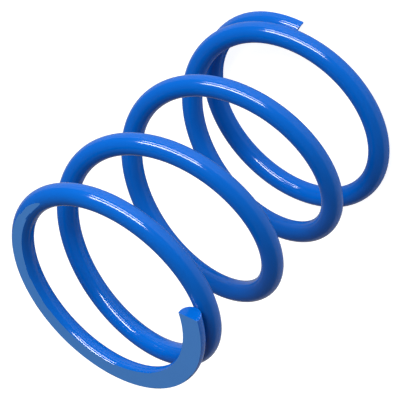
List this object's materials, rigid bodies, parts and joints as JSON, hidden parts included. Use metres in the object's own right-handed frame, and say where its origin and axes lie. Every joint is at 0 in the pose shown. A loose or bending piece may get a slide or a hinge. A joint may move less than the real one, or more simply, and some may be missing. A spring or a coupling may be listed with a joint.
{
  "type": "compression coil spring",
  "caption": "Right-hand helical compression spring of round wire, with closed and ground ends and a blue powder coat.",
  "frame": {"origin": "centre of the bottom ground face, on the coil axis", "axes": "+Z along the coil axis, from the bottom ground face to the top one; +X through the wire's bottom tip"},
  "size_m": [0.0565, 0.0564, 0.0794],
  "materials": {
    "spring_steel": "cold-drawn, shot-peened",
    "blue_powder_coat": "high-gloss blue powder coat"
  },
  "bodies": {
    "bottom_end": {"bottom_end_wire": "spring_steel", "bottom_end_coat": "blue_powder_coat"},
    "active_01": {"active_wire_01": "spring_steel", "active_coat_01": "blue_powder_coat"},
    "active_02": {"active_wire_02": "spring_steel", "active_coat_02": "blue_powder_coat"},
    "active_03": {"active_wire_03": "spring_steel", "active_coat_03": "blue_powder_coat"},
    "active_04": {"active_wire_04": "spring_steel", "active_coat_04": "blue_powder_coat"},
    "active_05": {"active_wire_05": "spring_steel", "active_coat_05": "blue_powder_coat"},
    "active_06": {"active_wire_06": "spring_steel", "active_coat_06": "blue_powder_coat"},
    "active_07": {"active_wire_07": "spring_steel", "active_coat_07": "blue_powder_coat"},
    "active_08": {"active_wire_08": "spring_steel", "active_coat_08": "blue_powder_coat"},
    "active_09": {"active_wire_09": "spring_steel", "active_coat_09": "blue_powder_coat"},
    "active_10": {"active_wire_10": "spring_steel", "active_coat_10": "blue_powder_coat"},
    "active_11": {"active_wire_11": "spring_steel", "active_coat_11": "blue_powder_coat"},
    "active_12": {"active_wire_12": "spring_steel", "active_coat_12": "blue_powder_coat"},
    "active_13": {"active_wire_13": "spring_steel", "active_coat_13": "blue_powder_coat"},
    "active_14": {"active_wire_14": "spring_steel", "active_coat_14": "blue_powder_coat"},
    "active_15": {"active_wire_15": "spring_steel", "active_coat_15": "blue_powder_coat"},
    "active_16": {"active_wire_16": "spring_steel", "active_coat_16": "blue_powder_coat"},
    "active_17": {"active_wire_17": "spring_steel", "active_coat_17": "blue_powder_coat"},
    "active_18": {"active_wire_18": "spring_steel", "active_coat_18": "blue_powder_coat"},
    "active_19": {"active_wire_19": "spring_steel", "active_coat_19": "blue_powder_coat"},
    "active_20": {"active_wire_20": "spring_steel", "active_coat_20": "blue_powder_coat"},
    "top_end": {"top_end_wire": "spring_steel", "top_end_coat": "blue_powder_coat"}
  },
  "joints": [
    {"name": "compression", "type": "slide", "parent": "bottom_end", "child": "top_end", "axis": [0, 0, 1], "range_m": [-0.0493, 0], "stiffness_N_per_m": 18000},
    {"name": "stretch_01_travel", "type": "slide", "parent": "bottom_end", "child": "active_01", "axis": [0, 0, 1], "range_m": [-0.00144, 0]},
    {"name": "stretch_02_travel", "type": "slide", "parent": "bottom_end", "child": "active_02", "axis": [0, 0, 1], "range_m": [-0.00377, 0]},
    {"name": "stretch_03_travel", "type": "slide", "parent": "bottom_end", "child": "active_03", "axis": [0, 0, 1], "range_m": [-0.00617, 0]},
    {"name": "stretch_04_travel", "type": "slide", "parent": "bottom_end", "child": "active_04", "axis": [0, 0, 1], "range_m": [-0.00857, 0]},
    {"name": "stretch_05_travel", "type": "slide", "parent": "bottom_end", "child": "active_05", "axis": [0, 0, 1], "range_m": [-0.01097, 0]},
    {"name": "stretch_06_travel", "type": "slide", "parent": "bottom_end", "child": "active_06", "axis": [0, 0, 1], "range_m": [-0.01337, 0]},
    {"name": "stretch_07_travel", "type": "slide", "parent": "bottom_end", "child": "active_07", "axis": [0, 0, 1], "range_m": [-0.01577, 0]},
    {"name": "stretch_08_travel", "type": "slide", "parent": "bottom_end", "child": "active_08", "axis": [0, 0, 1], "range_m": [-0.01817, 0]},
    {"name": "stretch_09_travel", "type": "slide", "parent": "bottom_end", "child": "active_09", "axis": [0, 0, 1], "range_m": [-0.02057, 0]},
    {"name": "stretch_10_travel", "type": "slide", "parent": "bottom_end", "child": "active_10", "axis": [0, 0, 1], "range_m": [-0.02304, 0]},
    {"name": "stretch_11_travel", "type": "slide", "parent": "bottom_end", "child": "active_11", "axis": [0, 0, 1], "range_m": [-0.0255, 0]},
    {"name": "stretch_12_travel", "type": "slide", "parent": "bottom_end", "child": "active_12", "axis": [0, 0, 1], "range_m": [-0.02797, 0]},
    {"name": "stretch_13_travel", "type": "slide", "parent": "bottom_end", "child": "active_13", "axis": [0, 0, 1], "range_m": [-0.03043, 0]},
    {"name": "stretch_14_travel", "type": "slide", "parent": "bottom_end", "child": "active_14", "axis": [0, 0, 1], "range_m": [-0.03279, 0]},
    {"name": "stretch_15_travel", "type": "slide", "parent": "bottom_end", "child": "active_15", "axis": [0, 0, 1], "range_m": [-0.03515, 0]},
    {"name": "stretch_16_travel", "type": "slide", "parent": "bottom_end", "child": "active_16", "axis": [0, 0, 1], "range_m": [-0.03751, 0]},
    {"name": "stretch_17_travel", "type": "slide", "parent": "bottom_end", "child": "active_17", "axis": [0, 0, 1], "range_m": [-0.03987, 0]},
    {"name": "stretch_18_travel", "type": "slide", "parent": "bottom_end", "child": "active_18", "axis": [0, 0, 1], "range_m": [-0.04223, 0]},
    {"name": "stretch_19_travel", "type": "slide", "parent": "bottom_end", "child": "active_19", "axis": [0, 0, 1], "range_m": [-0.04459, 0]},
    {"name": "stretch_20_travel", "type": "slide", "parent": "bottom_end", "child": "active_20", "axis": [0, 0, 1], "range_m": [-0.04696, 0]}
  ],
  "couplings": [
    {"joint": "stretch_01_travel", "follows": "compression", "ratio": 0.02888},
    {"joint": "stretch_02_travel", "follows": "compression", "ratio": 0.0762},
    {"joint": "stretch_03_travel", "follows": "compression", "ratio": 0.12488},
    {"joint": "stretch_04_travel", "follows": "compression", "ratio": 0.17356},
    {"joint": "stretch_05_travel", "follows": "compression", "ratio": 0.22224},
    {"joint": "stretch_06_travel", "follows": "compression", "ratio": 0.27092},
    {"joint": "stretch_07_travel", "follows": "compression", "ratio": 0.3196},
    {"joint": "stretch_08_travel", "follows": "compression", "ratio": 0.36828},
    {"joint": "stretch_09_travel", "follows": "compression", "ratio": 0.41697},
    {"joint": "stretch_10_travel", "follows": "compression", "ratio": 0.46698},
    {"joint": "stretch_11_travel", "follows": "compression", "ratio": 0.51699},
    {"joint": "stretch_12_travel", "follows": "compression", "ratio": 0.567},
    {"joint": "stretch_13_travel", "follows": "compression", "ratio": 0.61702},
    {"joint": "stretch_14_travel", "follows": "compression", "ratio": 0.66489},
    {"joint": "stretch_15_travel", "follows": "compression", "ratio": 0.71276},
    {"joint": "stretch_16_travel", "follows": "compression", "ratio": 0.76063},
    {"joint": "stretch_17_travel", "follows": "compression", "ratio": 0.80851},
    {"joint": "stretch_18_travel", "follows": "compression", "ratio": 0.85638},
    {"joint": "stretch_19_travel", "follows": "compression", "ratio": 0.90425},
    {"joint": "stretch_20_travel", "follows": "compression", "ratio": 0.95213}
  ]
}
